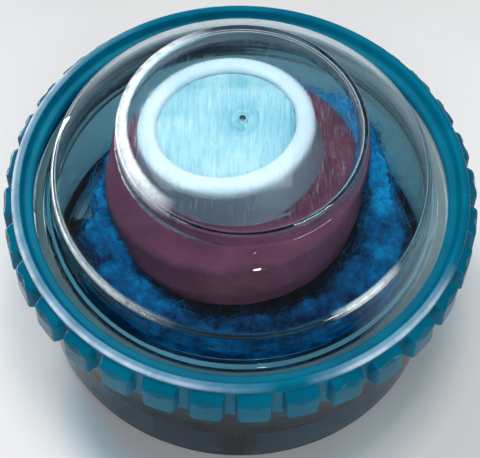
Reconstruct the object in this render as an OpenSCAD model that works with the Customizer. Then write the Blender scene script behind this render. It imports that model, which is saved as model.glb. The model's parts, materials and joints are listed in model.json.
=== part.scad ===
// Air-driven bubbler pod for an aquarium, in millimetres.
// A clear stepped dome is held on a smoky cup by a screwed ring with grip tabs.
// Inside, a porous stone leans in filter floss on a soft coupling above a check valve.
// Origin: centre of the rest plane under the foot pads. +Z is up, +Y is the hose side.

/* [Cup] */
// Outer radius of the cup wall
cup_r = 37; // [36:0.25:37.5]
// Thickness of the cup wall
cup_wall = 1.8; // [1.4:0.1:2]
// Height of the rim of the cup above the rest plane
cup_top = 31.3; // [31:0.1:31.6]
// Height of the underside of the floor
floor_z = 9; // [8.8:0.1:9.4]
// Thickness of the floor
floor_t = 2; // [1.6:0.1:2.2]
// Height of the lower edge of the foot wall
foot_z = 0.8; // [0.5:0.1:1.2]
// Number of water slots in the floor
floor_slots = 8; // [6:1:10]

/* [Lock ring] */
// Radius of the rim of the ring
ring_r = 41; // [40.5:0.25:42]
// Height of the lip inside the rim
ring_top = 35.5; // [35.4:0.1:36]
// Height of the rounded outer rim of the ring
rim_top = 36.9; // [36.2:0.1:37.2]
// Radius of the window inside the ring lip
window_r = 37.2; // [36.9:0.1:37.6]
// Height of the lower edge of the skirt
skirt_z = 26.8; // [26.5:0.1:27.2]
// Number of grip tabs
tabs = 32; // [24:1:36]
// Radius to the outer face of the grip tabs
tab_r = 42.6; // [42:0.1:43.2]
// Width of a grip tab
tab_w = 6.6; // [5:0.1:6.9]
// Height of the lower edge of the grip tabs
tab_z = 27.5; // [27:0.1:28.5]
// Angle from the front to the middle of the nearest tab
tab_phase = 4.3; // [0:0.1:11]
// Rise of the thread in one whole turn
thread_lead = 12; // [10:1:13]
// Number of thread starts
thread_starts = 3; // [3:1:3]

/* [Dome] */
// Thickness of the dome wall
dome_t = 1.2; // [1:0.1:1.4]
// Outer radius of the lower tier
tier_r = 33.6; // [33.2:0.1:34]
// Height where the lower tier starts to round over
tier_z = 40.9; // [40:0.1:42]
// Outer radius of the raised top
top_r = 21.6; // [21.3:0.1:22.5]
// Height where the raised top starts to round over
top_z = 54.1; // [53:0.1:54.3]
// Rise of the crown above that height
crown_h = 2.9; // [2.7:0.1:4]
// Radius of the vent hole at the apex
vent_r = 0.4; // [0.3:0.05:0.6]

/* [Stone cartridge] */
// Lean of the cartridge towards the hose side, in degrees
lean_back = 6.2; // [0:0.1:7]
// Lean of the cartridge towards -X, in degrees
lean_left = 5.6; // [0:0.1:6]
// Largest radius of the stone
stone_r = 22.8; // [20:0.1:23]
// Radius of the top face of the stone
stone_top_r = 16.4; // [16:0.1:18]
// Height of the stone
stone_h = 15.5; // [12:0.5:16]
// Outer radius of the rim of the collar above the stone
collar_r = 15.5; // [15:0.1:16]
// Outer radius of the foot of the collar
collar_foot_r = 16.5; // [16:0.1:16.8]
// Height of the collar
collar_h = 9.2; // [8:0.1:9.4]
// Radius of the disc in the collar
disc_r = 12.1; // [11.5:0.1:12.4]

/* [Air inlet] */
// Outer radius of the hose nipple
nipple_r = 2.2; // [2:0.1:2.4]
// Radius of the air bore
bore_r = 1.2; // [0.8:0.1:1.3]
// Height of the axis of the hose nipple
inlet_z = 5.2; // [5:0.1:5.4]
// Distance from the middle of the pod to the tip of the nipple
inlet_reach = 31; // [30:0.5:32]

/* [Hidden] */
$fn = 96;
FINE = 160;
EPS = 0.01;

// Cup
cup_inner_r = cup_r - cup_wall;
floor_top = floor_z + floor_t;
edge_round = 0.8;
boss_r = 4.2;
boss_at = 31;
boss_angles = [10, 170, 270];
boss_z = 1.2;
peg_r = 1.2;
peg_clear = 0.02;
peg_top = 4;
hose_notch_r = 5;
hose_notch_z = 3.4;
water_notch_r = 3.4;
water_notch_angles = [48, 132];
slot_in = 29;
slot_out = 33.4;
slot_span = 20;

// Seal, flange and lip are stacked on the cup rim
seal_t = 1;
flange_z = cup_top + seal_t;
flange_top = ring_top - 1.55;
flange_r = 38.5;
lip_z = ring_top - 1.5;

// Skirt and thread
skirt_in = 38.8;
skirt_out = 40.6;
rim_round = 1.1;
rim_foot = 38.7;
rib_in_cup = 36.8;
rib_out_cup = 38.4;
rib_in_ring = 37.4;
rib_out_ring = 39;
rib_span = 36;
rib_h = 2.2;
rib_gap = 0.1;
rib_z_cup = cup_top - 0.2 - rib_h;
rib_z_ring = rib_z_cup - thread_lead * rib_span / 360 - rib_gap;
rib_steps = 8;
rib_sides = 16;
tab_top = ring_top - 1.3;
tab_in = 40.2;
tab_round = 1.4;

// Dome: centres and radii of the arcs of its outer face
foot_fillet = 3.2;
tier_round = 2.4;
tier_turn = 42;
slope_r = 32;
step_fillet = 1.2;
top_round = 2.4;
spigot_in = 33.5;
spigot_out = 34.9;
spigot_z = 30;
foot_c = [tier_r + foot_fillet, flange_top + foot_fillet];
tier_c = [tier_r - tier_round, tier_z];
slope_c = tier_c - (slope_r - tier_round) * [cos(tier_turn), sin(tier_turn)];
step_reach = slope_r + step_fillet;
step_x = top_r + step_fillet;
step_c = [step_x, slope_c[1] + sqrt(pow(step_reach, 2) - pow(step_x - slope_c[0], 2))];
step_turn = atan2(step_c[1] - slope_c[1], step_c[0] - slope_c[0]);
top_c = [top_r - top_round, top_z];
crown_rise = crown_h - top_round;
crown_reach = (pow(crown_rise, 2) + pow(top_c[0], 2)) / (2 * crown_rise);
crown_r = crown_reach + top_round;
crown_c = [0, top_z + crown_h - crown_r];
crown_turn = atan2(top_c[1] - crown_c[1], top_c[0]);
apex_z = top_z + crown_h;
vent_boss_r = 2.2;
vent_boss_h = 0.4;

// Valve and stem: heights stacked upwards from the floor
grommet_flange = 1;
seat_z = floor_top + grommet_flange;
seat_h = 3;
valve_r = 5.8;
valve_z = seat_z + seat_h;
cavity_r = 4.6;
cavity_h = 2.2;
valve_disc_r = 3.6;
valve_disc_t = 0.9;
disc_gap = 0.05;
pip_drop = 0.6;
valve_cap_h = 3.4;
valve_top = valve_z + valve_cap_h;
valve_nipple_h = 2.6;
pivot_z = valve_top + valve_nipple_h;
tube_t = 1.2;
tube_up = 2.8;
stem_z = pivot_z + 0.6;
stem_r = 2.6;
stem_collar_z = pivot_z + tube_up + 0.1;
stem_collar_h = 0.8;
plate_z = stem_collar_z + stem_collar_h;
plate_h = 1.4;
plate_r = 13;
washer_t = 0.8;
stone_z = plate_z + plate_h + washer_t;
stone_top = stone_z + stone_h;
stone_bore = 3.4;
stone_side_z = stone_top - 4.6;
collar_wall_z = stone_top;
collar_floor_z = stone_top + washer_t;
collar_floor_t = 1.5;
collar_top = stone_top + collar_h;
disc_t = 1.4;
disc_z = collar_top - 1.1 - disc_t;
nut_r = 5;
nut_h = 2.8;
nut_z = collar_floor_z + collar_floor_t;
stem_top = nut_z + nut_h + 0.8;

// Points along an arc from angle a to angle b
function arc(c, r, a, b, n) =
  [for (i = [0:n]) c + r * [cos(a + (b - a) * i / n), sin(a + (b - a) * i / n)]];

// Outer face of the dome from the flange to the apex
// d moves it inwards, to give the inner face
function dome_face(d) = concat(
  arc(tier_c, tier_round - d, 0, tier_turn, 8),
  arc(slope_c, slope_r - d, tier_turn, step_turn, 12),
  arc(step_c, step_fillet + d, 180 + step_turn, 180, 8),
  arc(top_c, top_round - d, 0, crown_turn, 8),
  arc(crown_c, crown_r - d, crown_turn, 90, 14)
);

function reversed(list) = [for (i = [len(list) - 1:-1:0]) list[i]];

module ring_of(count, start = 0) {
  for (i = [0:count - 1]) rotate([0, 0, start + i * 360 / count]) children();
}

module at_angles(angles) {
  for (a = angles) rotate([0, 0, a]) children();
}

// Turns a part of the cartridge about the soft coupling
module lean() {
  translate([0, 0, pivot_z])
    rotate([-lean_back, -lean_left, 0])
      translate([0, 0, -pivot_z])
        children();
}

module washer(z, t, r_in, r_out) {
  translate([0, 0, z])
    difference() {
      cylinder(h = t, r = r_out);
      translate([0, 0, -EPS]) cylinder(h = t + 2 * EPS, r = r_in);
    }
}

// One start of a thread: a short arc of material that climbs with the lead
module thread_ribs(z, r_in, r_out) {
  rise_turn = 360 * rib_h / thread_lead;
  sector = concat(
    arc([0, 0], r_out, 0, rib_span, 4),
    arc([0, 0], r_in, rib_span, 0, 4)
  );
  ring_of(thread_starts)
    translate([0, 0, z])
      linear_extrude(height = rib_h, twist = -rise_turn, slices = rib_steps, $fn = rib_sides)
        polygon(sector);
}

module water_slot() {
  rotate([0, 0, -slot_span / 2])
    rotate_extrude(angle = slot_span)
      translate([slot_in, floor_z - 1])
        square([slot_out - slot_in, floor_t + 2]);
}

// Arched opening through the foot wall, on the +X side
module foot_notch(r, z) {
  translate([boss_at, 0, z])
    rotate([0, 90, 0])
      cylinder(h = cup_r, r = r);
  translate([boss_at, -r, -1])
    cube([cup_r, 2 * r, z + 1]);
}

module base_cup() {
  color("slategray", 0.5)
    difference() {
      union() {
        rotate_extrude($fn = FINE)
          polygon(concat(
            [[0, floor_z]],
            [[cup_inner_r - 0.4, floor_z]],
            [[cup_inner_r - 0.4, foot_z + 0.2]],
            [[cup_inner_r, foot_z]],
            arc([cup_r - edge_round, foot_z + edge_round], edge_round, 270, 360, 5),
            arc([cup_r - 0.4, cup_top - 0.4], 0.4, 0, 90, 3),
            arc([cup_inner_r + 0.4, cup_top - 0.4], 0.4, 90, 180, 3),
            arc([cup_inner_r - 1.5, floor_top + 1.5], 1.5, 0, -90, 5),
            [[0, floor_top]]
          ));
        at_angles(boss_angles)
          translate([boss_at, 0, boss_z])
            cylinder(h = floor_z - boss_z + EPS, r = boss_r);
        thread_ribs(rib_z_cup, rib_in_cup, rib_out_cup);
      }
      translate([0, 0, floor_z - 1])
        cylinder(h = floor_t + 2, r = 3.6);
      at_angles(boss_angles)
        translate([boss_at, 0, boss_z - EPS])
          cylinder(h = peg_top - boss_z + 0.2, r = peg_r + peg_clear);
      ring_of(floor_slots, 22.5)
        water_slot();
      rotate([0, 0, 90])
        foot_notch(hose_notch_r, hose_notch_z);
      at_angles(water_notch_angles)
        foot_notch(water_notch_r, 2.6);
    }
}

module foot_pads() {
  color("dimgray")
    at_angles(boss_angles)
      translate([boss_at, 0, 0]) {
        rotate_extrude()
          polygon(concat(
            [[0, 0]],
            arc([3.2, 0.4], 0.4, 270, 360, 3),
            [[3.6, boss_z], [peg_r, boss_z]],
            [[peg_r, peg_top - 0.4], [peg_r - 0.4, peg_top], [0, peg_top]]
          ));
      }
}

// Open ring of coated weight under the floor, with a gap for the elbow
module ballast_ring() {
  gap = 34;
  color("darkslategray")
    rotate([0, 0, 90 + gap / 2])
      rotate_extrude(angle = 360 - gap, $fn = FINE)
        polygon(concat(
          arc([12.8, 4.6], 0.8, 180, 270, 3),
          arc([25.2, 4.6], 0.8, 270, 360, 3),
          [[26, floor_z], [12, floor_z]]
        ));
}

module inlet_elbow() {
  thick_r = 2.7;
  shoulder_y = 20;
  color("whitesmoke")
    difference() {
      union() {
        translate([0, 0, inlet_z]) sphere(r = thick_r);
        translate([0, 0, inlet_z]) cylinder(h = thick_r, r = thick_r);
        translate([0, 0, inlet_z]) cylinder(h = seat_z + 2.1 - inlet_z, r = nipple_r);
        translate([0, 0, inlet_z]) rotate([-90, 0, 0]) cylinder(h = shoulder_y, r = thick_r);
        translate([0, 0, inlet_z])
          rotate([-90, 0, 0])
            rotate_extrude()
              polygon([
                [0, 1], [nipple_r, 1], [nipple_r, inlet_reach - 0.8],
                [nipple_r - 0.5, inlet_reach], [0, inlet_reach]
              ]);
      }
      translate([0, 0, inlet_z]) sphere(r = bore_r);
      translate([0, 0, inlet_z]) cylinder(h = 12, r = bore_r);
      translate([0, 0, inlet_z]) rotate([-90, 0, 0]) cylinder(h = inlet_reach + 1, r = bore_r);
    }
}

module inlet_grommet() {
  color("black")
    rotate_extrude()
      polygon([
        [nipple_r, floor_z - grommet_flange], [5, floor_z - grommet_flange],
        [5, floor_z], [3.6, floor_z], [3.6, floor_top], [5, floor_top],
        [5, floor_top + grommet_flange], [nipple_r, floor_top + grommet_flange]
      ]);
}

// Slotted plate that carries the floss above the floor
module media_tray() {
  tray_r = 26;
  tray_z = 12.6;
  tray_t = 1.4;
  color("lightgray")
    difference() {
      union() {
        washer(tray_z, tray_t, 6.4, tray_r);
        ring_of(6) translate([22, 0, floor_top]) cylinder(h = tray_z - floor_top + 0.2, r = 1.6);
      }
      ring_of(12, 15)
        rotate([0, 0, -8])
          rotate_extrude(angle = 16)
            translate([10, tray_z - 1])
              square([9, tray_t + 2]);
    }
}

module valve_seat() {
  socket_h = 2.2;
  color("white")
    rotate_extrude()
      polygon([
        [nipple_r, seat_z], [valve_r, seat_z], [valve_r, valve_z],
        [2.6, valve_z], [2.6, valve_z - 0.4], [2.2, valve_z - 0.4], [1.8, valve_z],
        [bore_r, valve_z - 0.2], [bore_r, seat_z + socket_h], [nipple_r, seat_z + socket_h]
      ]);
}

module valve_disc() {
  color("orangered")
    translate([0, 0, valve_z + disc_gap])
      cylinder(h = valve_disc_t, r = valve_disc_r);
}

module valve_cap() {
  color("white")
    difference() {
      union() {
        translate([0, 0, valve_z]) cylinder(h = valve_cap_h, r = valve_r);
        translate([0, 0, valve_top - EPS]) cylinder(h = valve_nipple_h + EPS, r = nipple_r);
      }
      difference() {
        translate([0, 0, valve_z - EPS]) cylinder(h = cavity_h + EPS, r = cavity_r);
        ring_of(3)
          translate([2.6, 0, valve_z + cavity_h - pip_drop]) cylinder(h = pip_drop + 1, r = 0.5);
      }
      translate([0, 0, valve_z + 1]) cylinder(h = 12, r = bore_r);
    }
}

// Soft tube that lets the cartridge lean on the valve nipple
module coupling_tube() {
  tube_r = nipple_r + tube_t;
  tube_down = valve_nipple_h - 0.6;
  color("gainsboro")
    lean()
      washer(pivot_z - tube_down, tube_down + tube_up, nipple_r, tube_r);
}

module stem_tube() {
  color("whitesmoke")
    lean()
      difference() {
        rotate_extrude()
          polygon([
            [bore_r, stem_z], [nipple_r, stem_z], [nipple_r, stem_collar_z],
            [4.6, stem_collar_z], [4.6, plate_z], [stem_r, plate_z],
            [stem_r, stem_top - 0.4], [stem_r - 0.4, stem_top], [bore_r, stem_top]
          ]);
        ring_of(2)
          translate([0, 0, stone_z + stone_h / 2])
            rotate([0, 90, 0])
              cylinder(h = 10, r = 0.8, $fn = 24);
      }
}

module clamp_plate() {
  color("white")
    lean()
      washer(plate_z, plate_h, stem_r, plate_r);
}

module lower_washer() {
  color("black")
    lean()
      washer(stone_z - washer_t, washer_t, stem_r, plate_r - 2);
}

module air_stone() {
  color("rosybrown")
    lean()
      rotate_extrude($fn = FINE)
        polygon(concat(
          [[stone_bore, stone_z]],
          arc([stone_r - 2.2, stone_z + 1], 1, 270, 345, 4),
          [[stone_r, stone_z + 5]],
          arc([stone_r - 2, stone_side_z], 2, 0, 58, 6),
          [[stone_top_r, stone_top - 0.4]],
          arc([stone_top_r - 0.8, stone_top - 0.6], 0.6, 45, 90, 3),
          [[stone_bore, stone_top]]
        ));
}

module upper_washer() {
  color("black")
    lean()
      washer(stone_top, washer_t, stem_r, 10);
}

// Frosted cup that clamps the stone and holds the disc near its rim
module outlet_collar() {
  color("aliceblue", 0.9)
    lean()
      rotate_extrude($fn = FINE)
        polygon(concat(
          [[stem_r, collar_floor_z], [10.2, collar_floor_z], [10.2, collar_wall_z]],
          arc([collar_foot_r - 0.8, collar_wall_z + 0.8], 0.8, 270, 365, 4),
          arc([collar_r - 1.6, collar_top - 1.6], 1.6, 5, 90, 7),
          arc([disc_r + 0.05 + 1, collar_top - 1], 1, 90, 180, 5),
          [[disc_r + 0.05, disc_z], [disc_r - 1.2, disc_z], [disc_r - 1.2, nut_z + 1]],
          arc([disc_r - 2.2, nut_z + 1], 1, 0, -90, 4),
          [[stem_r, nut_z]]
        ));
}

module stem_nut() {
  color("silver")
    lean()
      translate([0, 0, nut_z])
        difference() {
          cylinder(h = nut_h, r = nut_r, $fn = 6);
          translate([0, 0, -EPS]) cylinder(h = nut_h + 2 * EPS, r = stem_r);
        }
}

module diffuser_disc() {
  color("skyblue", 0.9)
    lean()
      rotate_extrude($fn = FINE)
        polygon(concat(
          [[0, disc_z], [disc_r, disc_z]],
          arc([disc_r - 0.4, disc_z + disc_t - 0.4], 0.4, 0, 90, 3),
          [[0, disc_z + disc_t]]
        ));
}

module floss_bed() {
  color("steelblue")
    rotate_extrude()
      polygon(concat(
        [[7, 14.3]],
        arc([23.5, 17.3], 3, 270, 360, 5),
        arc([23.5, 18.2], 3, 0, 90, 5),
        [[7, 20.6]]
      ));
}

module floss_wrap() {
  hug_r = stone_r + 0.4;
  color("dodgerblue")
    lean()
      rotate_extrude()
        polygon(concat(
          [[hug_r, stone_z + 0.4]],
          arc([27, stone_z + 2.4], 2, 270, 360, 4),
          arc([26.4, stone_z + 7.6], 2.6, 0, 90, 5),
          [[hug_r, stone_z + 10.4]]
        ));
}

module seal_ring() {
  color("lightcyan")
    washer(cup_top, seal_t, cup_inner_r + 0.1, cup_r - 0.1);
}

module dome_lid() {
  flare_end = 180 + acos((foot_c[0] - spigot_in) / (foot_fillet + dome_t));
  color("paleturquoise", 0.4)
    difference() {
      union() {
        rotate_extrude($fn = FINE)
          polygon(concat(
            [[spigot_in, spigot_z], [spigot_out, spigot_z], [spigot_out, flange_z]],
            arc([flange_r - 0.4, flange_z + 0.4], 0.4, 270, 360, 3),
            arc([flange_r - 0.4, flange_top - 0.4], 0.4, 0, 90, 3),
            arc(foot_c, foot_fillet, 270, 180, 10),
            dome_face(0),
            reversed(dome_face(dome_t)),
            arc(foot_c, foot_fillet + dome_t, 180, flare_end, 6)
          ));
        rotate_extrude($fn = 48)
          polygon(concat(
            [[0, apex_z - 0.6], [vent_boss_r, apex_z - 0.6]],
            arc([vent_boss_r - 0.3, apex_z + vent_boss_h - 0.3], 0.3, 0, 90, 3),
            [[0, apex_z + vent_boss_h]]
          ));
      }
      translate([0, 0, apex_z - 4]) cylinder(h = 8, r = vent_r, $fn = 32);
    }
}

// Outline of a tab as seen from outside, with rounded lower corners
module tab_outline() {
  half = tab_w / 2;
  translate([-half, tab_z + tab_round]) square([tab_w, tab_top - tab_z - tab_round]);
  translate([-half + tab_round, tab_z]) square([tab_w - 2 * tab_round, tab_round + EPS]);
  for (side = [-1, 1])
    translate([side * (half - tab_round), tab_z + tab_round]) circle(r = tab_round, $fn = 24);
}

module grip_tab() {
  rotate([90, 0, 90])
    translate([0, 0, tab_in])
      linear_extrude(height = tab_r - tab_in)
        tab_outline();
}

module lock_ring() {
  color("darkturquoise", 0.8)
    union() {
      rotate_extrude($fn = FINE)
        polygon(concat(
          [[skirt_in, skirt_z]],
          arc([skirt_out - 0.5, skirt_z + 0.5], 0.5, 270, 360, 3),
          [[skirt_out, rim_top - 2]],
          arc([ring_r - rim_round, rim_top - rim_round], rim_round, -20, 125, 9),
          [[rim_foot, ring_top]],
          arc([window_r + 0.5, ring_top - 0.5], 0.5, 90, 180, 4),
          [[window_r, lip_z], [skirt_in, lip_z]]
        ));
      thread_ribs(rib_z_ring, rib_in_ring, rib_out_ring);
      ring_of(tabs, 270 + tab_phase)
        grip_tab();
    }
}

base_cup();
foot_pads();
ballast_ring();
inlet_elbow();
inlet_grommet();
media_tray();
valve_seat();
valve_disc();
valve_cap();
coupling_tube();
stem_tube();
clamp_plate();
lower_washer();
air_stone();
upper_washer();
outlet_collar();
stem_nut();
diffuser_disc();
floss_bed();
floss_wrap();
seal_ring();
dome_lid();
lock_ring();
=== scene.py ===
"""Visual model of the bubbler pod: clear stepped dome, teal grip ring, smoky cup, stone and floss.

Lengths are in millimetres up to build_mesh(), which turns them into metres.
"""
import json
import math
import random

import bmesh
import bpy
import numpy as np
from mathutils import Matrix, Vector


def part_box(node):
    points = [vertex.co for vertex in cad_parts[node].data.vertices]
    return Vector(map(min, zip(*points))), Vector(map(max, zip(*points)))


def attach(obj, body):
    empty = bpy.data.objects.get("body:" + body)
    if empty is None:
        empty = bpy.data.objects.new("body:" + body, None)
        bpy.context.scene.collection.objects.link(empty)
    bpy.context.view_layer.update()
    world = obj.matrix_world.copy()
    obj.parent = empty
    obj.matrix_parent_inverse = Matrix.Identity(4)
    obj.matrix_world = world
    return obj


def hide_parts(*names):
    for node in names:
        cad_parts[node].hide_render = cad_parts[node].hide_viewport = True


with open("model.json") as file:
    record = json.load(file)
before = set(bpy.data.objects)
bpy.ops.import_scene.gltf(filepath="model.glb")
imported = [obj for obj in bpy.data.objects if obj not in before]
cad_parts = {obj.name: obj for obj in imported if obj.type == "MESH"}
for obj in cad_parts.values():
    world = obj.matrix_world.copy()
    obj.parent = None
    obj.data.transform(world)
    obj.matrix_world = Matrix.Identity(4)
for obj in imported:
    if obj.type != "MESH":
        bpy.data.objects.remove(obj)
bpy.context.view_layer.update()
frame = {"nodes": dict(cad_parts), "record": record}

MM = 0.001
SHARP_ANGLE = math.radians(32)


def top_of(node):
    """Highest point of a CAD node, in millimetres."""
    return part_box(node)[1].z / MM


def bottom_of(node):
    """Lowest point of a CAD node, in millimetres."""
    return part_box(node)[0].z / MM


def radius_of(node):
    """Half the width of a CAD node along X, in millimetres."""
    low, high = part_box(node)
    return (high.x - low.x) / 2 / MM


# ---------------------------------------------------------------- sizes, from the frame

RIM_TOP = top_of("lock_ring")
LIP_TOP = RIM_TOP - 1.4
SKIRT_Z = bottom_of("lock_ring")
TAB_R = 42.6
RING_R = TAB_R - 1.6
WINDOW_R = RING_R - 3.8
SKIRT_OUT = RING_R - 0.4
SKIRT_IN = RING_R - 2.2
LIP_Z = LIP_TOP - 1.5
TABS = 32
TAB_PHASE = math.radians(270 + 4.3)
TAB_HALF = 3.3
TAB_Z = SKIRT_Z + 0.7
TAB_FULL = LIP_TOP - 2.0
TAB_TOP = LIP_TOP + 0.1
LEAD = 12.0
STARTS = 3
RIB_SPAN = 36.0
RIB_H = 2.2
RIB_DEPTH = 1.4
RIB_EDGE = 0.16

CUP_R = 37.0
CUP_IN = CUP_R - 1.8
CUP_TOP = top_of("base_cup")
FOOT_Z = bottom_of("base_cup")
FLOOR_Z = 9.0
FLOOR_TOP = 11.0
BOSS_AT = 31
RIB_Z_CUP = CUP_TOP - 0.2 - RIB_H
RIB_Z_RING = RIB_Z_CUP - LEAD * RIB_SPAN / 360 - 0.1

FLANGE_R = radius_of("dome_lid")
FLANGE_Z = CUP_TOP + 1.0
FLANGE_TOP = LIP_TOP - 1.55
DOME_T = 1.2
SPIGOT_IN = 33.5
SPIGOT_OUT = 34.9
SPIGOT_Z = 30
TIER_R = 33.6
TIER_Z = 40.9
TOP_R = 21.6
TOP_Z = 54.1
CROWN_H = 2.9
VENT_R = 0.4

LEAN_BACK = math.radians(6.2)
LEAN_LEFT = math.radians(5.6)
PIVOT = Vector((0, 0, 21.0))
STONE_Z = 26.9
STONE_TOP = STONE_Z + 15.5
STONE_R = 22.8
STONE_TOP_R = 16.4
COLLAR_R = 15.5
COLLAR_FOOT_R = 16.5
COLLAR_TOP = STONE_TOP + 9.2
COLLAR_FLOOR = STONE_TOP + 0.8
STEM_R = 2.6
DISC_R = 12.1
DISC_T = 1.4
DISC_Z = COLLAR_TOP - 1.1 - DISC_T

# Zones of painted highlight in metres: a range of heights, then a range of radii
TOP_HIGHLIGHT_ZONE = ((0.0531, 0.0570), (0.0193, 0.0225))
LOW_HIGHLIGHT_ZONE = ((0.0411, 0.0426), (0.0320, 0.0345))
FRONT_HIGHLIGHT_ZONE = ((0.0409, 0.0426), (0.0320, 0.0345))
RIM_HIGHLIGHT_ZONE = ((0.0361, 0.0370), (0.0394, 0.0412))


# ---------------------------------------------------------------- mesh helpers

def arc(centre, radius, start, end, count):
    """Points on an arc, angles in degrees."""
    angles = np.radians(np.linspace(start, end, count + 1))
    return [(centre[0] + radius * math.cos(a), centre[1] + radius * math.sin(a)) for a in angles]


def refined(loop, step, closed=True):
    """The same outline with no side longer than step."""
    out = []
    pairs = list(zip(loop, loop[1:] + loop[:1])) if closed else list(zip(loop, loop[1:]))
    for (r0, z0), (r1, z1) in pairs:
        count = max(1, math.ceil(math.hypot(r1 - r0, z1 - z0) / step))
        out += [(r0 + (r1 - r0) * i / count, z0 + (z1 - z0) * i / count) for i in range(count)]
    return out if closed else out + [loop[-1]]


def build_mesh(name, points, faces):
    """An object from points in millimetres, smooth but for its sharp edges."""
    mesh = bpy.data.meshes.new(name)
    mesh.from_pydata([tuple(p) for p in np.asarray(points) * MM], [], faces)
    tidy = bmesh.new()
    tidy.from_mesh(mesh)
    bmesh.ops.remove_doubles(tidy, verts=tidy.verts, dist=1e-7)
    bmesh.ops.recalc_face_normals(tidy, faces=tidy.faces)
    tidy.to_mesh(mesh)
    tidy.free()
    mesh.polygons.foreach_set("use_smooth", [True] * len(mesh.polygons))
    mesh.set_sharp_from_angle(angle=SHARP_ANGLE)
    obj = bpy.data.objects.new(name, mesh)
    bpy.context.scene.collection.objects.link(obj)
    return obj


def grid_faces(rows, across, closed=True):
    """Quads between neighbouring rows of points, the last row joined to the first."""
    faces = []
    for i in range(rows):
        j = (i + 1) % rows
        for k in range(across if closed else across - 1):
            m = (k + 1) % across
            faces.append((i * across + k, j * across + k, j * across + m, i * across + m))
    return faces


def turned(name, profile, columns, closed=True, shift=None):
    """Revolves a profile of (r, z) about Z.

    columns is a count or a list of angles. shift(angles, r, z) gives new radii, so that tabs and
    threads stand out of the turned surface. An open profile starts and ends on the axis.
    """
    angles = np.array(columns)
    if isinstance(columns, int):
        angles = np.linspace(0, 2 * np.pi, columns, endpoint=False)
    r, z = (np.repeat([values], len(angles), 0) for values in zip(*profile))
    if shift:
        r = shift(angles[:, None], r, z)
    x = r * np.cos(angles)[:, None]
    y = r * np.sin(angles)[:, None]
    points = np.stack([x, y, z], -1).reshape(-1, 3)
    return build_mesh(name, points, grid_faces(len(angles), len(profile), closed))


def carve(obj, tool, operation):
    """Applies a boolean of one object on another and deletes the tool."""
    modifier = obj.modifiers.new("carve", "BOOLEAN")
    modifier.operation = operation
    modifier.solver = "EXACT"
    modifier.object = tool
    view = bpy.context.evaluated_depsgraph_get()
    mesh = bpy.data.meshes.new_from_object(obj.evaluated_get(view))
    obj.modifiers.clear()
    obj.data = mesh
    mesh.set_sharp_from_angle(angle=SHARP_ANGLE)
    bpy.data.objects.remove(tool)


def block(low, high):
    """A closed box between two corners, used as a cutting tool."""
    xs, ys, zs = zip(low, high)
    points = [(x, y, z) for x in xs for y in ys for z in zs]
    faces = [(0, 1, 3, 2), (4, 6, 7, 5), (0, 4, 5, 1), (2, 3, 7, 6), (0, 2, 6, 4), (1, 5, 7, 3)]
    return build_mesh("tool", points, faces)


def rod(radius, start, length, axis="Z", sides=48):
    """A closed round rod, used as a cutting tool or a boss."""
    tool = turned("tool", [(0, 0), (radius, 0), (radius, length), (0, length)], sides, closed=False)
    if axis == "X":
        tool.data.transform(Matrix.Rotation(math.radians(90), 4, "Y"))
    tool.data.transform(Matrix.Translation(Vector(start) * MM))
    return tool


def lean(obj):
    """Leans a piece of the stone cartridge about the soft coupling, as the CAD does."""
    turn = Matrix.Rotation(-LEAN_BACK, 4, "X")
    turn = Matrix.Rotation(-LEAN_LEFT, 4, "Y") @ turn
    place = Matrix.Translation(PIVOT * MM)
    obj.data.transform(place @ turn @ place.inverted())


def lumps(points, scale, seed, octaves=3):
    """Smooth noise between about -1 and 1 at each point, the same on every run."""
    rng = np.random.default_rng(seed)
    total = np.zeros(len(points))
    weight = 1.0
    for _ in range(octaves):
        for _ in range(5):
            direction = rng.normal(size=3)
            direction /= np.linalg.norm(direction)
            phase = rng.uniform(0, 2 * np.pi)
            total += weight * np.sin(points @ direction * 2 * np.pi / scale + phase) / 5
        scale, weight = scale * 0.47, weight * 0.55
    return total * 1.6


def rough_up(obj, amount, scale, seed):
    """Moves the points of a mesh along their normals by smooth noise, in millimetres."""
    mesh = obj.data
    count = len(mesh.vertices)
    places = np.empty(count * 3)
    mesh.vertices.foreach_get("co", places)
    places = places.reshape(-1, 3)
    normals = np.array([v.normal for v in mesh.vertices])
    places += normals * (lumps(places / MM, scale, seed) * amount * MM)[:, None]
    mesh.vertices.foreach_set("co", places.ravel())
    mesh.update()


# ---------------------------------------------------------------- materials

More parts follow.
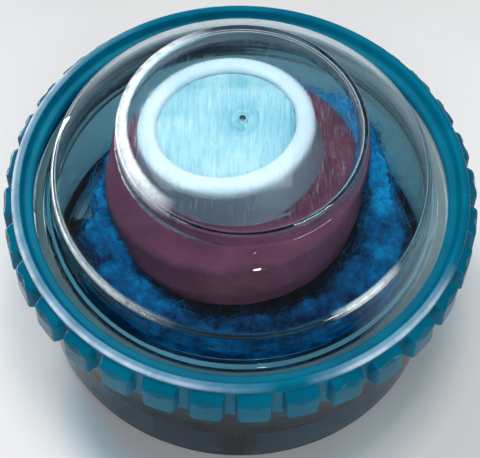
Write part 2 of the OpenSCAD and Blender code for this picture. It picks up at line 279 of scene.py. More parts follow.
class Look:
    """A node material under construction, with short calls for the nodes it needs."""

    def __init__(self, name):
        self.material = bpy.data.materials.new(name)
        self.material.use_nodes = True
        self.tree = self.material.node_tree
        self.shader = self.tree.nodes["Principled BSDF"]
        self.output = self.tree.nodes["Material Output"]
        self.place = self.add("ShaderNodeTexCoord").outputs["Object"]

    def add(self, kind, **settings):
        node = self.tree.nodes.new(kind)
        for key, value in settings.items():
            setattr(node, key, value)
        return node

    def link(self, source, target):
        self.tree.links.new(source, target)

    def set(self, **values):
        for key, value in values.items():
            self.shader.inputs[key.replace("_", " ")].default_value = value
        return self

    def noise(self, scale, detail=4.0, roughness=0.55, stretch=None):
        """Noise over the object; scale is in waves per metre."""
        node = self.add("ShaderNodeTexNoise")
        node.inputs["Scale"].default_value = scale
        node.inputs["Detail"].default_value = detail
        node.inputs["Roughness"].default_value = roughness
        source = self.place
        if stretch:
            mapping = self.add("ShaderNodeMapping")
            mapping.inputs["Scale"].default_value = stretch
            self.link(self.place, mapping.inputs["Vector"])
            source = mapping.outputs["Vector"]
        self.link(source, node.inputs["Vector"])
        return node.outputs["Fac"]

    def ramp(self, source, *stops):
        """Colours between positions: each stop is (position, colour)."""
        node = self.add("ShaderNodeValToRGB")
        while len(node.color_ramp.elements) < len(stops):
            node.color_ramp.elements.new(0.5)
        for element, (position, colour) in zip(node.color_ramp.elements, stops):
            element.position = position
            element.color = (*colour, 1) if len(colour) == 3 else colour
        self.link(source, node.inputs["Fac"])
        return node.outputs["Color"]

    def remap(self, source, low, high, from_low=0.3, from_high=0.7):
        node = self.add("ShaderNodeMapRange")
        node.inputs["From Min"].default_value = from_low
        node.inputs["From Max"].default_value = from_high
        node.inputs["To Min"].default_value = low
        node.inputs["To Max"].default_value = high
        self.link(source, node.inputs["Value"])
        return node.outputs["Result"]

    def axes(self):
        """Object coordinates, one at a time."""
        node = self.add("ShaderNodeSeparateXYZ")
        self.link(self.place, node.inputs["Vector"])
        return node.outputs

    def calc(self, operation, *terms):
        node = self.add("ShaderNodeMath", operation=operation)
        for term, socket in zip(terms, node.inputs):
            if isinstance(term, float):
                socket.default_value = term
            else:
                self.link(term, socket)
        return node.outputs["Value"]

    def times(self, a, b):
        return self.calc("MULTIPLY", a, b)

    def sum(self, a, b):
        return self.calc("ADD", a, b)

    def radius(self):
        """Distance from the axis of the pod."""
        x, y, _ = self.axes()
        return self.calc("SQRT", self.sum(self.times(x, x), self.times(y, y)))

    def facing(self, azimuth, full, none):
        """1 towards an azimuth, falling to 0; full and none are degrees off it."""
        x, y, _ = self.axes()
        a = math.radians(azimuth)
        along = self.sum(self.times(x, math.cos(a)), self.times(y, math.sin(a)))
        turn = self.calc("DIVIDE", along, self.radius())
        start, end = math.cos(math.radians(none)), math.cos(math.radians(full))
        return self.remap(turn, 0.0, 1.0, start, end)

    def band(self, zone, soft=0.0003):
        """1 on a zone of heights and radii in metres, with soft limits."""
        mask = 1.0
        for source, (low, high) in zip((self.axes()[2], self.radius()), zone):
            mask = self.times(mask, self.remap(source, 0.0, 1.0, low, low + soft))
            mask = self.times(mask, self.remap(source, 1.0, 0.0, high - soft, high))
        return mask

    def mix(self, factor, first, second):
        """Blends two colours, each a plain colour or a socket."""
        node = self.add("ShaderNodeMix", data_type="RGBA")
        self.link(factor, node.inputs["Factor"])
        for colour, name in ((first, "A"), (second, "B")):
            if isinstance(colour, tuple):
                node.inputs[name].default_value = (*colour, 1)
            else:
                self.link(colour, node.inputs[name])
        return node.outputs["Result"]

    def feed(self, name, source):
        """Links a source to an input of the shader."""
        self.link(source, self.shader.inputs[name])

    def bump(self, source, strength, distance, below=None):
        node = self.add("ShaderNodeBump")
        node.inputs["Strength"].default_value = strength
        node.inputs["Distance"].default_value = distance
        self.link(source, node.inputs["Height"])
        if below is not None:
            self.link(below, node.inputs["Normal"])
        return node.outputs["Normal"]

    def absorb(self, colour, density):
        """Tints light by how far it runs inside the piece."""
        node = self.add("ShaderNodeVolumeAbsorption")
        node.inputs["Color"].default_value = (*colour, 1)
        node.inputs["Density"].default_value = density
        self.link(node.outputs["Volume"], self.output.inputs["Volume"])

    def let_lamps_through(self, colour):
        """Lets shadow rays pass, tinted, so that lamps light what is inside."""
        path = self.add("ShaderNodeLightPath")
        clear = self.add("ShaderNodeBsdfTransparent")
        clear.inputs["Color"].default_value = (*colour, 1)
        mix = self.add("ShaderNodeMixShader")
        self.link(path.outputs["Is Shadow Ray"], mix.inputs["Fac"])
        self.link(self.shader.outputs["BSDF"], mix.inputs[1])
        self.link(clear.outputs["BSDF"], mix.inputs[2])
        self.link(mix.outputs["Shader"], self.output.inputs["Surface"])


def clear_plastic():
    """Polished styrene: clear, faintly teal through its thickness, scuffed on its flat top.

    The rounded edges of the tiers carry painted white highlights on the sides facing the lamps, and
    painted glints streak the scuffs of the crown.
    """
    look = Look("clear_plastic")
    look.set(IOR=1.42, Specular_IOR_Level=0.35)
    z = look.axes()[2]
    high = look.remap(z, 0.0, 1.0, 0.0535, 0.0562)
    rubs = look.noise(900, detail=3, roughness=0.7, stretch=(7.0, 0.3, 1.0))
    scuffs = look.remap(rubs, 0.0, 0.07, 0.46, 0.74)
    look.feed("Roughness", look.sum(look.times(scuffs, high), 0.02))
    waves = look.noise(40, detail=2)
    fine = look.bump(look.times(look.remap(rubs, 0.0, 1.0, 0.55, 0.75), high), 0.2, 0.00005)
    look.feed("Normal", look.bump(waves, 0.06, 0.0004, fine))
    # Painted white highlights on the rounded tier edges, each kept to the side that faces a lamp
    # and broken up by mottle
    top_highlight = look.times(look.band(TOP_HIGHLIGHT_ZONE, 0.0006), look.facing(172, 36, 66))
    low_highlight = look.times(look.band(LOW_HIGHLIGHT_ZONE), look.facing(190, 38, 62))
    front_highlight = look.times(look.band(FRONT_HIGHLIGHT_ZONE), look.facing(312, 5, 14))
    edge_highlights = look.sum(top_highlight, look.sum(look.times(low_highlight, 0.7), front_highlight))
    mottle = look.remap(look.noise(520, detail=4, roughness=0.7), 0.5, 1.0, 0.34, 0.56)
    # Painted highlight on the back-right of the lower tier's shoulder
    shoulder = look.times(look.remap(z, 0.14, 0.0, 0.0395, 0.0415), look.facing(25, 45, 80))
    # Painted glints streaked along the scuffs of the crown
    streaks = look.times(look.remap(rubs, 0.0, 0.5, 0.6, 0.85), high)
    painted_highlight = look.sum(look.times(edge_highlights, mottle), look.sum(shoulder, streaks))
    # The painted highlights whiten the colour and make the plastic less clear there
    look.feed("Base Color", look.mix(painted_highlight, (0.97, 0.99, 0.99), (0.88, 0.92, 0.95)))
    look.feed("Transmission Weight", look.sum(look.times(painted_highlight, -0.85), 1.0))
    look.absorb((0.2, 0.72, 0.84), 110.0)
    look.let_lamps_through((0.93, 0.96, 0.96))
    return look.material


def smoky_plastic():
    """Tinted styrene of the cup: grey smoke with a faint cool cast."""
    look = Look("smoky_cup")
    look.set(Base_Color=(0.74, 0.92, 0.95, 1), Transmission_Weight=1.0, IOR=1.5)
    rubs = look.noise(500, detail=4, roughness=0.65, stretch=(1.0, 1.0, 0.12))
    look.feed("Roughness", look.remap(rubs, 0.06, 0.3, 0.4, 0.75))
    look.feed("Normal", look.bump(rubs, 0.12, 0.0001))
    look.absorb((0.03, 0.44, 0.56), 800.0)
    look.let_lamps_through((0.42, 0.64, 0.7))
    return look.material


def teal_plastic():
    """Soft translucent polypropylene in teal, slightly cloudy, with a painted highlight on the left
    and front-right of its rim.

    Its index is low so that the tabs stay deep teal and don't mirror the pale floor.
    """
    look = Look("teal_plastic")
    cloud = look.noise(120, detail=3)
    colour = look.ramp(cloud, (0.3, (0.0, 0.13, 0.22)), (0.7, (0.0, 0.18, 0.28)))
    # Painted highlight on the rim crest, on the left and front-right sides that face the lamps
    highlight_sides = look.sum(look.facing(198, 52, 82), look.facing(312, 10, 26))
    mottle = look.remap(look.noise(260, detail=3), 0.55, 0.9, 0.35, 0.6)
    painted_highlight = look.times(look.times(look.band(RIM_HIGHLIGHT_ZONE), highlight_sides), mottle)
    # The painted highlight turns the teal pale and makes it less clear
    look.feed("Base Color", look.mix(painted_highlight, colour, (0.55, 0.66, 0.78)))
    look.feed("Transmission Weight", look.sum(look.times(painted_highlight, -0.3), 0.32))
    look.set(IOR=1.18, Specular_IOR_Level=0.3)
    look.set(Subsurface_Weight=0.3, Subsurface_Radius=(0.001, 0.003, 0.004), Subsurface_Scale=1.0)
    grain = look.noise(420, detail=2)
    look.feed("Roughness", look.remap(grain, 0.14, 0.2))
    look.feed("Normal", look.bump(grain, 0.04, 0.0001))
    look.absorb((0.01, 0.6, 0.75), 160.0)
    look.let_lamps_through((0.2, 0.62, 0.7))
    return look.material


def frosted_plastic():
    """Frosted white polyethylene, cloudy at its rim and clearer down its side."""
    look = Look("frosted_plastic")
    cloud = look.noise(180, detail=4)
    x, y, z = look.axes()
    tilt = look.sum(look.times(x, -math.tan(LEAN_LEFT)), look.times(y, math.tan(LEAN_BACK)))
    rim = look.remap(look.sum(z, tilt), 0.0, 1.0, 0.0495, 0.0512)
    side_colour = look.ramp(cloud, (0.3, (0.34, 0.39, 0.5)), (0.7, (0.42, 0.47, 0.58)))
    rim_colour = look.ramp(cloud, (0.3, (0.74, 0.79, 0.88)), (0.7, (0.84, 0.88, 0.94)))
    look.feed("Base Color", look.mix(rim, side_colour, rim_colour))
    look.feed("Transmission Weight", look.remap(rim, 0.7, 0.12, 0.0, 1.0))
    look.set(IOR=1.45)
    grain = look.noise(2200, detail=3)
    look.feed("Roughness", look.remap(grain, 0.3, 0.42))
    look.feed("Normal", look.bump(grain, 0.12, 0.0001))
    look.let_lamps_through((0.6, 0.63, 0.68))
    return look.material


def pale_blue_plastic():
    """Light-blue translucent disc with soft brushed streaks of paler and deeper blue."""
    look = Look("pale_blue_plastic")
    streaks = look.noise(300, detail=6, roughness=0.75, stretch=(6.0, 0.35, 1.0))
    cloud = look.noise(90, detail=3)
    shade = look.sum(look.times(streaks, 0.5), look.times(cloud, 0.5))
    deep, middle, pale = (0.14, 0.45, 0.58), (0.3, 0.63, 0.74), (0.66, 0.86, 0.9)
    look.feed("Base Color", look.ramp(shade, (0.36, deep), (0.5, middle), (0.64, pale)))
    look.set(Transmission_Weight=0.2, IOR=1.49)
    look.set(Subsurface_Weight=0.3, Subsurface_Radius=(0.002, 0.003, 0.004), Subsurface_Scale=1.0)
    look.feed("Roughness", look.remap(streaks, 0.2, 0.4))
    look.feed("Normal", look.bump(streaks, 0.1, 0.0001))
    return look.material


def mauve_stone():
    """Fine bonded mineral in mauve, softly mottled, with pin-hole pores and a paler foot."""
    look = Look("mauve_stone")
    mottle = look.noise(110, detail=5, roughness=0.6)
    deep, middle, pale = (0.09, 0.026, 0.05), (0.135, 0.04, 0.072), (0.19, 0.065, 0.1)
    body = look.ramp(mottle, (0.3, deep), (0.55, middle), (0.75, pale))
    foot = look.remap(look.axes()[2], 0.5, 0.0, 0.0255, 0.0315)
    foot = look.times(foot, look.remap(mottle, 0.4, 1.0))
    look.feed("Base Color", look.mix(foot, body, (0.34, 0.14, 0.11)))
    look.set(Roughness=0.6, Specular_IOR_Level=0.15)
    cells = look.add("ShaderNodeTexVoronoi")
    cells.inputs["Scale"].default_value = 1900
    look.link(look.place, cells.inputs["Vector"])
    pores = look.bump(cells.outputs["Distance"], 0.25, 0.0002)
    look.feed("Normal", look.bump(mottle, 0.2, 0.0004, pores))
    return look.material


def blue_floss():
    """Dyed filter wool in shades of blue from tuft to tuft, with painted shade that darkens it low
    down and lightens its top.
    """
    look = Look("blue_floss")
    dark, middle, light = (0.0, 0.014, 0.06), (0.0, 0.1, 0.26), (0.0, 0.28, 0.55)
    shade = look.noise(240, detail=6, roughness=0.7)
    # Painted shade: the tone darkens towards the bottom of the floss and lightens towards its top
    height = look.remap(look.axes()[2], -0.16, 0.12, 0.028, 0.037)
    tone = look.sum(shade, height)
    look.feed("Base Color", look.ramp(tone, (0.3, dark), (0.52, middle), (0.72, light)))
    look.set(Roughness=0.85, Specular_IOR_Level=0.04)
    fibres = look.noise(2600, detail=4, stretch=(1.0, 1.0, 0.3))
    look.feed("Normal", look.bump(fibres, 0.6, 0.0005))
    return look.material


def moulded(name, low, high, roughness=0.4, grain_scale=1500, depth=0.0001):
    """Plain moulded or coated material: two close shades, fine grain and uneven gloss."""
    look = Look(name)
    cloud = look.noise(160, detail=4)
    look.feed("Base Color", look.ramp(cloud, (0.3, low), (0.7, high)))
    grain = look.noise(grain_scale, detail=3)
    look.feed("Roughness", look.remap(grain, roughness - 0.08, roughness + 0.08))
    look.feed("Normal", look.bump(grain, 0.2, depth))
    return look.material


def milky_silicone():
    """Milky see-through silicone."""
    look = Look("clear_silicone")
    cloud = look.noise(200, detail=3)
    look.feed("Base Color", look.ramp(cloud, (0.3, (0.7, 0.76, 0.77)), (0.7, (0.84, 0.88, 0.88))))
    look.feed("Roughness", look.remap(look.noise(1800), 0.28, 0.42))
    look.set(Transmission_Weight=0.6, IOR=1.41)
    look.let_lamps_through((0.7, 0.74, 0.74))
    return look.material


LOOKS = {
    "smoky_cup": smoky_plastic(),
    "clear_plastic": clear_plastic(),
    "teal_plastic": teal_plastic(),
    "frosted_plastic": frosted_plastic(),
    "pale_blue_plastic": pale_blue_plastic(),
    "mauve_stone": mauve_stone(),
    "blue_floss": blue_floss(),
    "white_plastic": moulded("white_plastic", (0.74, 0.76, 0.76), (0.86, 0.87, 0.86)),
    "tray_plastic": moulded("tray_plastic", (0.2, 0.24, 0.26), (0.28, 0.33, 0.35)),
    "nut_plastic": moulded("nut_plastic", (0.66, 0.68, 0.67), (0.78, 0.79, 0.77)),
    "black_rubber": moulded("black_rubber", (0.018, 0.018, 0.02), (0.04, 0.04, 0.042), 0.66),
    "valve_rubber": moulded("valve_rubber", (0.5, 0.09, 0.02), (0.64, 0.14, 0.04), 0.6),
    "clear_silicone": milky_silicone(),
    "grey_silicone": moulded("grey_silicone", (0.09, 0.12, 0.13), (0.13, 0.165, 0.175), 0.5),
    "coated_weight": moulded(
        "coated_weight", (0.045, 0.05, 0.055), (0.085, 0.09, 0.095), 0.42, 700, 0.0003,
    ),
}
slot_of = {row["node"]: row["material_slot"] for row in frame["record"]["subparts"]}


def finish_piece(obj, body, slot, *nodes):
    """Gives a piece its look, lets it ride on its body and stand for its CAD nodes."""
    obj.data.materials.clear()
    obj.data.materials.append(LOOKS[slot])
    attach(obj, body)
    if nodes:
        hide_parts(*nodes)
    return obj


# ---------------------------------------------------------------- clear dome

def dome_face(inset):
    """Outer face of the dome from the shoulder to the crown, moved inwards by inset."""
    tier_round, turn, slope, fillet, top_round = 2.4, 42, 32.0, 1.2, 2.4
    tier = (TIER_R - tier_round, TIER_Z)
    slope_c = (
        tier[0] - (slope - tier_round) * math.cos(math.radians(turn)),
        tier[1] - (slope - tier_round) * math.sin(math.radians(turn)),
    )
    step_x = TOP_R + fillet
    step_z = slope_c[1] + math.sqrt((slope + fillet) ** 2 - (step_x - slope_c[0]) ** 2)
    step_turn = math.degrees(math.atan2(step_z - slope_c[1], step_x - slope_c[0]))
    top = (TOP_R - top_round, TOP_Z)
    rise = CROWN_H - top_round
    crown_r = (rise ** 2 + top[0] ** 2) / (2 * rise) + top_round
    crown = (0, TOP_Z + CROWN_H - crown_r)
    crown_turn = math.degrees(math.atan2(top[1] - crown[1], top[0]))
    last = math.degrees(math.acos(VENT_R / (crown_r - inset)))
    return (
        arc(tier, tier_round - inset, 0, turn, 12)
        + arc(slope_c, slope - inset, turn, step_turn, 24)
        + arc((step_x, step_z), fillet + inset, 180 + step_turn, 180, 12)
        + arc(top, top_round - inset, 0, crown_turn, 16)
        + arc(crown, crown_r - inset, crown_turn, last, 36)
    )


def vent_boss(apex):
    """Low moulded mound with a small ring round the vent hole, from its foot to the hole."""
    mound = [(2.7, -0.01), (2.4, 0.06), (2.0, 0.18), (1.5, 0.22), (1.2, 0.16)]
    lip = arc((0.8, 0.16), 0.26, 0, 165, 8)
    return [(r, apex + rise) for r, rise in mound + lip + [(VENT_R + 0.05, -0.3)]]


def make_dome():
    fillet = 3.2
    foot = (TIER_R + fillet, FLANGE_TOP + fillet)
    apex = TOP_Z + CROWN_H
    boss_foot = 2.8
    outer = [p for p in dome_face(0) if p[0] > boss_foot] + vent_boss(apex)
    inner = list(reversed(dome_face(DOME_T)))
    flare = 180 + math.degrees(math.acos((foot[0] - SPIGOT_IN) / (fillet + DOME_T)))
    profile = (
        [(SPIGOT_IN, SPIGOT_Z), (SPIGOT_OUT, SPIGOT_Z), (SPIGOT_OUT, FLANGE_Z)]
        + arc((FLANGE_R - 0.4, FLANGE_Z + 0.4), 0.4, 270, 360, 4)
        + arc((FLANGE_R - 0.4, FLANGE_TOP - 0.4), 0.4, 0, 90, 5)
        + arc(foot, fillet, 270, 180, 16)
        + outer
        + inner
        + arc(foot, fillet + DOME_T, 180, flare, 8)
    )
    dome = turned("dome_lid_clear", profile, 256)
    return finish_piece(dome, "lid", "clear_plastic", "dome_lid")


# ---------------------------------------------------------------- threads and grip tabs

def thread_depth(angles, z, low):
    """How far the ribs of the thread stand out, for each angle and height."""
    rib = LEAD * RIB_SPAN / 360
    climb = LEAD * np.degrees(angles) / 360
    pitch = LEAD / STARTS
    above = np.mod(z - low - climb, pitch)
    across = np.clip(np.minimum(above, rib - above) / RIB_EDGE + 0.5, 0, 1)
    ends = np.clip(np.minimum(z - low, low + RIB_H - z) / RIB_EDGE + 0.5, 0, 1)
    return across * ends * RIB_DEPTH


def tab_height(angles, z):
    """How far the grip tabs stand out of the skirt, in millimetres."""
    pitch = 2 * np.pi / TABS
    local = (angles - TAB_PHASE + pitch / 2) % pitch - pitch / 2
    u = np.abs(local) * TAB_R
    corner, flank, crowning = 1.4, 0.9, 2.6
    dimple_half, dimple_rise, dimple_depth = 1.2, 0.8, 0.28
    du = u - (TAB_HALF - corner)
    dz = TAB_Z + corner - z
    off_corner = np.hypot(np.maximum(du, 0), np.maximum(dz, 0))
    inside = corner - off_corner - np.minimum(np.maximum(du, dz), 0)
    t = np.clip(inside / flank, 0, 1)
    slope = np.clip((TAB_TOP - z) / (TAB_TOP - TAB_FULL), 0, 1)
    height = (TAB_R - SKIRT_OUT) * (1 - (1 - t) ** crowning) * np.sin(slope * np.pi / 2)
    off_dimple = (u / dimple_half) ** 2 + ((z - TAB_FULL - 0.2) / dimple_rise) ** 2
    return height - dimple_depth * np.sqrt(np.clip(1 - off_dimple, 0, 1)) * (t > 0.5)


def tab_columns():
    """Angles for the columns of the ring, close together where the sides of the tabs are."""
    pitch = 2 * math.pi / TABS
    edge = TAB_HALF / TAB_R
    steps = (0.0, 0.12, 0.24, 0.36, 0.5, 0.62, 0.72, 0.8, 0.87, 0.92, 0.96, 0.99, 1.01, 1.08)
    side = [edge * step for step in steps]
    offsets = sorted([-s for s in side[1:]] + side) + [pitch / 2]
    return [TAB_PHASE + i * pitch + o for i in range(TABS) for o in offsets]


def ring_shift(angles, r, z):
    """Adds the tabs outside and the thread inside to the turned ring."""
    outer = (r > SKIRT_OUT - 0.7) & (z < TAB_TOP)
    inner = (r < SKIRT_IN + 0.01) & (z < LIP_Z - 0.4) & (z > SKIRT_Z)
    ribs = thread_depth(angles, z, RIB_Z_RING)
    tabs = np.maximum(tab_height(angles, z) - np.maximum(r - SKIRT_OUT, 0), 0)
    return r + np.where(outer, tabs, 0) - np.where(inner, ribs, 0)


def make_ring():
    rim = 1.1
    heights = (
        np.linspace(SKIRT_Z + 0.5, TAB_Z + 1.6, 16),
        np.linspace(TAB_Z + 2.0, TAB_FULL - 1.0, 8),
        np.linspace(TAB_FULL - 0.8, RIM_TOP - 1.7, 24),
    )
    wall = [(SKIRT_OUT, z) for z in np.concatenate(heights)]
    inside = [(SKIRT_IN, z) for z in np.linspace(LIP_Z, SKIRT_Z, 40)]
    profile = (
        arc((SKIRT_OUT - 0.5, SKIRT_Z + 0.5), 0.5, 270, 350, 4)
        + wall
        + arc((RING_R - rim, RIM_TOP - rim), rim, -20, 125, 20)
        + arc((38.45, LIP_TOP + 0.5), 0.5, -40, -90, 4)
        + arc((WINDOW_R + 0.5, LIP_TOP - 0.5), 0.5, 90, 180, 6)
        + [(WINDOW_R, LIP_Z)]
        + inside
    )
    ring = turned("lock_ring_teal", profile, tab_columns(), shift=ring_shift)
    return finish_piece(ring, "ring", "teal_plastic", "lock_ring")


# ---------------------------------------------------------------- smoky cup

def cup_shift(angles, r, z):
    """Adds the thread to the outside of the turned cup."""
    outer = r > CUP_R - 0.05
    return r + np.where(outer, thread_depth(angles, z, RIB_Z_CUP), 0)


def make_cup():
    neck = [(CUP_R, z) for z in np.linspace(CUP_TOP - 3.4, CUP_TOP - 0.35, 22)]
    profile = (
        [(0, FLOOR_Z), (CUP_IN - 0.4, FLOOR_Z), (CUP_IN - 0.4, FOOT_Z + 0.2), (CUP_IN, FOOT_Z)]
        + arc((CUP_R - 0.8, FOOT_Z + 0.8), 0.8, 270, 360, 8)
        + neck
        + arc((CUP_R - 0.4, CUP_TOP - 0.4), 0.4, 8, 90, 4)
        + arc((CUP_IN + 0.4, CUP_TOP - 0.4), 0.4, 90, 180, 5)
        + arc((CUP_IN - 1.5, FLOOR_TOP + 1.5), 1.5, 0, -90, 8)
        + [(0, FLOOR_TOP)]
    )
    outline = refined(profile, 4.0, closed=False)
    cup = turned("base_cup_smoky", outline, 288, closed=False, shift=cup_shift)
    add_bosses(cup)
    carve(cup, rod(3.6, (0, 0, FLOOR_Z - 1), 4), "DIFFERENCE")
    cut_slots(cup)
    cut_arches(cup)
    return finish_piece(cup, "base", "smoky_cup", "base_cup")


def add_bosses(cup):
    """Three bosses under the floor, each with a hole for the peg of a foot pad."""
    boss_r, boss_z, peg_r, peg_top = 4.2, 1.2, 1.25, 4.2
    for angle in (10, 170, 270):
        a = math.radians(angle)
        at = (BOSS_AT * math.cos(a), BOSS_AT * math.sin(a))
        carve(cup, rod(boss_r, (*at, boss_z), FLOOR_Z - boss_z + 0.5), "UNION")
        carve(cup, rod(peg_r, (*at, 0), peg_top), "DIFFERENCE")


def cut_slots(cup):
    """Eight curved water slots through the floor."""
    slots, half_span, slot_in, slot_out = 8, math.radians(10), 29, 33.4
    for i in range(slots):
        centre = math.radians((i + 0.5) * 360 / slots)
        span = np.linspace(centre - half_span, centre + half_span, 9)
        edge = [(slot_out * math.cos(t), slot_out * math.sin(t)) for t in span]
        edge += [(slot_in * math.cos(t), slot_in * math.sin(t)) for t in span[::-1]]
        points = [(x, y, z) for z in (FLOOR_Z - 1, FLOOR_TOP + 1) for x, y in edge]
        count = len(edge)
        faces = [tuple(range(count)), tuple(range(count, 2 * count))]
        faces += [(k, (k + 1) % count, count + (k + 1) % count, count + k) for k in range(count)]
        carve(cup, build_mesh("tool", points, faces), "DIFFERENCE")


def cut_arches(cup):
    """Arched openings through the foot wall: a large one for the hose and two for water."""
    for angle, radius, height in ((90, 5.0, 3.4), (48, 3.4, 2.6), (132, 3.4, 2.6)):
        arch = rod(radius, (BOSS_AT, 0, height), 10, axis="X")
        low = (BOSS_AT + 0.001, -radius + 0.001, -1)
        carve(arch, block(low, (BOSS_AT + 10, radius - 0.001, height)), "UNION")
        arch.data.transform(Matrix.Rotation(math.radians(angle), 4, "Z"))
        carve(cup, arch, "DIFFERENCE")


# ---------------------------------------------------------------- stone, collar and disc

def make_stone():
    profile = (
        [(3.4, STONE_Z)]
        + arc((STONE_R - 2.2, STONE_Z + 1), 1, 270, 345, 6)
        + [(STONE_R, STONE_Z + 5)]
        + arc((STONE_R - 2, STONE_TOP - 4.6), 2, 0, 58, 8)
        + [(STONE_TOP_R, STONE_TOP - 0.4)]
        + arc((STONE_TOP_R - 0.8, STONE_TOP - 0.6), 0.6, 45, 90, 4)
        + [(3.4, STONE_TOP)]
    )
    stone = turned("air_stone_porous", refined(profile, 0.45), 360)
    rough_up(stone, amount=0.05, scale=3.1, seed=11)
    lean(stone)
    return finish_piece(stone, "base", "mauve_stone", "air_stone")


def make_collar():
    recess_r = 10.2
    seat_r = DISC_R - 1.2
    inner_floor = COLLAR_FLOOR + 1.5
    profile = (
        [(STEM_R, COLLAR_FLOOR), (recess_r, COLLAR_FLOOR), (recess_r, STONE_TOP)]
        + arc((COLLAR_FOOT_R - 0.8, STONE_TOP + 0.8), 0.8, 270, 365, 8)
        + arc((COLLAR_R - 1.6, COLLAR_TOP - 1.6), 1.6, 5, 90, 12)
        + arc((DISC_R + 1.05, COLLAR_TOP - 1), 1, 90, 180, 8)
        + [(DISC_R + 0.05, DISC_Z), (seat_r, DISC_Z), (seat_r, inner_floor + 1)]
        + arc((seat_r - 1, inner_floor + 1), 1, 0, -90, 6)
        + [(STEM_R, inner_floor)]
    )
    collar = turned("outlet_collar_frosted", profile, 256)
    lean(collar)
    return finish_piece(collar, "base", "frosted_plastic", "outlet_collar")


def make_disc():
    top, bulge = DISC_Z + DISC_T, 0.25
    crown = [(DISC_R * f, top + bulge * (1 - f * f)) for f in np.linspace(0.92, 0, 24)]
    edge = arc((DISC_R - 0.4, top - 0.4), 0.4, 0, 85, 5)
    profile = [(0, DISC_Z), (DISC_R, DISC_Z)] + edge + crown
    disc = turned("diffuser_disc_blue", profile, 256, closed=False)
    lean(disc)
    return finish_piece(disc, "base", "pale_blue_plastic", "diffuser_disc")


# ---------------------------------------------------------------- floss

FIBRE_STEPS = 6
FIBRE_SIDES = 3
FLOSS_REACH = (  # angle from +X in degrees, how far the floss reaches, height of its top
    (0, 28.0, 35.5), (15, 27.2, 37.0), (30, 27.5, 38.0), (45, 27.6, 38.0), (60, 26.4, 37.0),
    (80, 25.6, 35.5), (110, 25.2, 34.5), (140, 25.0, 34.5), (165, 25.2, 35.0), (180, 26.2, 35.5),
    (195, 28.6, 34.5), (215, 29.4, 33.0), (235, 31.2, 31.5), (255, 31.8, 30.5), (270, 32.0, 30.0),
    (290, 32.0, 30.0), (310, 31.6, 30.5), (328, 31.6, 32.0), (342, 31.2, 33.5), (352, 29.6, 34.5),
)


def around(column, degrees):
    """The floss table at any angle, joined smoothly."""
    angles = np.array([row[0] for row in FLOSS_REACH] + [360.0])
    values = np.array([row[column] for row in FLOSS_REACH] + [FLOSS_REACH[0][column]])
    return np.interp(np.mod(degrees, 360), angles, values)


def floss_point(angle, t):
    """A point on the floss: t runs from the stone over the top, down the outside and back."""
    reach, top = around(1, np.degrees(angle)), around(2, np.degrees(angle))
    low = 14.6
    foot = 26.0
    outline = np.array([
        (22.2, top - 3.0), (23.4, top - 0.4), (24.6, top), ((reach + 24.6) / 2, top - 0.3),
        (reach - 0.8, top - 1.6), (reach, top - 4.0), (reach - 0.6, 24.5), (foot + 1.0, 19.0),
        (foot, low + 1.0), (foot - 1.5, low), (16.0, low), (8.0, low), (7.4, low + 1), (7.4, 20.0),
        (8.6, 21.2), (14.5, 21.6), (18.5, 22.0), (21.2, 23.0), (22.0, 26.0),
    ])
    step = np.linalg.norm(np.diff(np.vstack([outline, outline[:1]]), axis=0), axis=1)
    along = np.concatenate([[0], np.cumsum(step)]) / step.sum()
    closed = np.vstack([outline, outline[:1]])
    return np.interp(t, along, closed[:, 0]), np.interp(t, along, closed[:, 1])


def make_floss():
    """The wad of floss: a swollen ring of wool, lumpy at two scales."""
    rows, across = 300, 150
    points = []
    for i in range(rows):
        angle = 2 * np.pi * i / rows
        r, z = floss_point(angle, np.arange(across) / across)
        points.append(np.stack([r * np.cos(angle), r * np.sin(angle), z], -1))
    floss = build_mesh("filter_floss_wad", np.concatenate(points), grid_faces(rows, across))
    rough_up(floss, amount=0.75, scale=7.0, seed=5)
    rough_up(floss, amount=0.28, scale=1.3, seed=6)
    return finish_piece(floss, "base", "blue_floss", "floss_wrap", "floss_bed")


def keep_inside(point):
    """Holds a fibre clear of the wall of the dome and the cup."""
    limit = 33.0 if point.z < SPIGOT_Z else 31.6
    reach = math.hypot(point.x, point.y)
    if reach > limit:
        point = Vector((point.x * limit / reach, point.y * limit / reach, point.z))
    return point


def fibre_points(draw, face):
    """Rings of three points along one curled fibre that starts on a face of the floss."""
    start = face.center / MM
    out = face.normal.copy()
    heading = Vector((draw.gauss(0, 1), draw.gauss(0, 1), draw.gauss(0, 1)))
    across = out.cross(heading).normalized()
    length = draw.uniform(1.4, 4.2)
    rise = draw.uniform(0.05, 0.5)
    curl = draw.uniform(-0.9, 0.9)
    thick = draw.uniform(0.02, 0.045)
    side = out.cross(across).normalized()
    points = []
    for k in range(FIBRE_STEPS + 1):
        t = k / FIBRE_STEPS
        bend = across * math.cos(curl * t) + side * math.sin(curl * t)
        lift = out * (rise * length * math.sin(math.pi * min(t * 1.1, 1)) * 0.6)
        centre = keep_inside(start + bend * (length * t) + lift)
        for q in range(FIBRE_SIDES):
            turn = 2 * math.pi * q / FIBRE_SIDES
            points.append(centre + (side * math.cos(turn) + out * math.sin(turn)) * thick)
    return points


def fibre_faces(base):
    """Faces of one fibre whose first point has the number base, with both ends closed."""
    faces = []
    for k in range(FIBRE_STEPS):
        for q in range(FIBRE_SIDES):
            a = base + k * FIBRE_SIDES + q
            b = base + k * FIBRE_SIDES + (q + 1) % FIBRE_SIDES
            faces.append((a, b, b + FIBRE_SIDES, a + FIBRE_SIDES))
    last = base + FIBRE_STEPS * FIBRE_SIDES
    return faces + [(base, base + 1, base + 2), (last + 2, last + 1, last)]


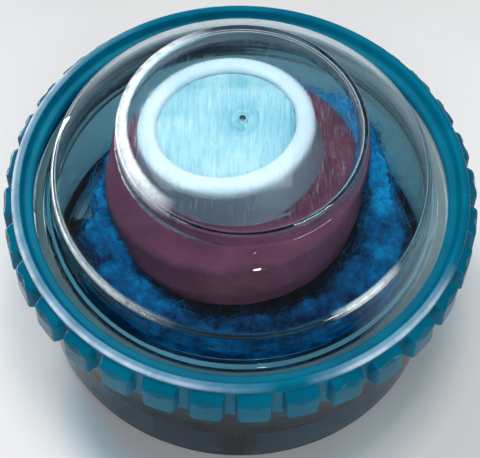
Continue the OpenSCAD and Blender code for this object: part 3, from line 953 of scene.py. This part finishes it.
def make_fibres(floss, count, seed):
    """Loose fibres that stand and curl out of the floss where it can be seen."""
    draw = random.Random(seed)
    low, inner = 0.020, 0.0215
    shown = [f for f in floss.data.polygons if f.center.z > low and f.center.xy.length > inner]
    points, faces = [], []
    for _ in range(count):
        faces += fibre_faces(len(points))
        points += fibre_points(draw, draw.choice(shown))
    fibres = build_mesh("filter_floss_fibres", np.array(points), faces)
    return finish_piece(fibres, "base", "blue_floss")


# ---------------------------------------------------------------- small CAD parts

REPLACED = (
    "dome_lid", "lock_ring", "base_cup", "air_stone",
    "outlet_collar", "diffuser_disc", "floss_wrap", "floss_bed",
)


def dress_cad_nodes():
    """Smooth shading, softened edges and a node material on every CAD part still shown."""
    for name, obj in frame["nodes"].items():
        if name in REPLACED:
            continue
        obj.data.materials.clear()
        obj.data.materials.append(LOOKS[slot_of[name]])
        obj.data.polygons.foreach_set("use_smooth", [True] * len(obj.data.polygons))
        obj.data.set_sharp_from_angle(angle=SHARP_ANGLE)
        bevel = obj.modifiers.new("soft_edges", "BEVEL")
        bevel.width = 0.00015
        bevel.segments = 2
        bevel.limit_method = "ANGLE"
        bevel.angle_limit = math.radians(40)
        bevel.harden_normals = True


# ---------------------------------------------------------------- stage, light and camera

def make_stage():
    """A pale round floor with painted shade that darkens it away from the pod, so that the dome
    mirrors less of it.
    """
    floor = turned("floor", [(0, 0), (900, 0), (900, -2), (0, -2)], 96, closed=False)
    look = Look("pale_floor")
    grain = look.times(look.noise(90, detail=4), 0.03)
    # Painted shade: the floor colour darkens with distance from the pod
    near, far = (0.64, 0.64, 0.635), (0.15, 0.16, 0.17)
    away = look.sum(look.times(look.radius(), 2.0), grain)
    look.feed("Base Color", look.ramp(away, (0.16, near), (0.5, far)))
    look.set(Roughness=0.8, Specular_IOR_Level=0.1)
    floor.data.materials.append(look.material)


def lamp(name, place, size, power, colour=(1, 1, 1), aim=(0, 0, 35)):
    """A soft rectangular light; places and sizes are in millimetres."""
    light = bpy.data.lights.new(name, "AREA")
    light.shape = "RECTANGLE"
    light.size, light.size_y = size[0] * MM, size[1] * MM
    light.energy = power
    light.color = colour
    obj = bpy.data.objects.new(name, light)
    obj.location = Vector(place) * MM
    obj.rotation_euler = (Vector(aim) * MM - obj.location).to_track_quat("-Z", "Y").to_euler()
    bpy.context.scene.collection.objects.link(obj)
    return obj


def reflector(name, azimuth, distance, height, size, power):
    """A low glowing card beside the pod that only its glossy edges pick up."""
    a = math.radians(azimuth)
    place = (distance * math.cos(a), distance * math.sin(a), height)
    card = lamp(name, place, size, power, aim=(0, 0, height))
    card.visible_diffuse = False
    card.visible_camera = False
    card.visible_transmission = False


def make_lights():
    """A dim studio, three soft lamps that light but don't show, and small ones for the glints."""
    world = bpy.data.worlds.new("studio")
    world.use_nodes = True
    back = world.node_tree.nodes["Background"]
    back.inputs["Color"].default_value = (0.88, 0.94, 1.0, 1)
    back.inputs["Strength"].default_value = 0.12
    bpy.context.scene.world = world
    cool, warm = (0.97, 0.98, 1), (1, 0.97, 0.92)
    key = lamp("key", (-210, 300, 515), (130, 130), 2.4, cool)
    fill = lamp("top", (30, 40, 640), (170, 170), 2.1, cool)
    front = lamp("front_fill", (60, -520, 300), (320, 240), 1.9, cool)
    for soft in (key, fill, front):
        soft.visible_glossy = False
        soft.visible_transmission = False
        soft.visible_camera = False
    lamp("overhead", (-20, 300, 520), (130, 110), 0.13, (0.95, 0.98, 1))
    lamp("small_lamp", (84, -315, 595), (30, 12), 0.1, warm)
    reflector("card_left", 165, 112, 10, (110, 14), 0.08)
    reflector("card_front_left", 215, 122, 14, (90, 12), 0.025)
    reflector("card_front_right", 320, 120, 24, (60, 12), 0.05)


def make_camera():
    """Looks down at the pod from the front at about 59 degrees, slightly rolled."""
    elevation, roll, distance = math.radians(58.8), math.radians(-1.35), 0.2963
    aim_up, aim_height, focal = -0.00737, 0.0355, 124.1
    back = Vector((0, -math.cos(elevation), math.sin(elevation)))
    up = Vector((0, math.sin(elevation), math.cos(elevation)))
    right = Vector((1, 0, 0))
    place = back * distance + up * aim_up + Vector((0, 0, aim_height))
    side = right * math.cos(roll) - up * math.sin(roll)
    upright = right * math.sin(roll) + up * math.cos(roll)
    data = bpy.data.cameras.new("camera")
    data.sensor_width = 36
    data.lens = focal
    data.clip_start = 0.01
    camera = bpy.data.objects.new("camera", data)
    turn = Matrix((side, upright, back)).transposed().to_4x4()
    camera.matrix_world = Matrix.Translation(place) @ turn
    bpy.context.scene.collection.objects.link(camera)
    bpy.context.scene.camera = camera


def set_light_paths():
    scene = bpy.context.scene
    scene.cycles.max_bounces = 24
    scene.cycles.transmission_bounces = 24
    scene.cycles.transparent_max_bounces = 24
    scene.cycles.diffuse_bounces = 4
    scene.cycles.glossy_bounces = 6
    scene.cycles.use_denoising = True
    scene.view_settings.view_transform = "Standard"


make_camera()
make_stage()
make_lights()
set_light_paths()
make_dome()
make_ring()
make_cup()
make_stone()
make_collar()
make_disc()
make_fibres(make_floss(), count=9000, seed=21)
dress_cad_nodes()
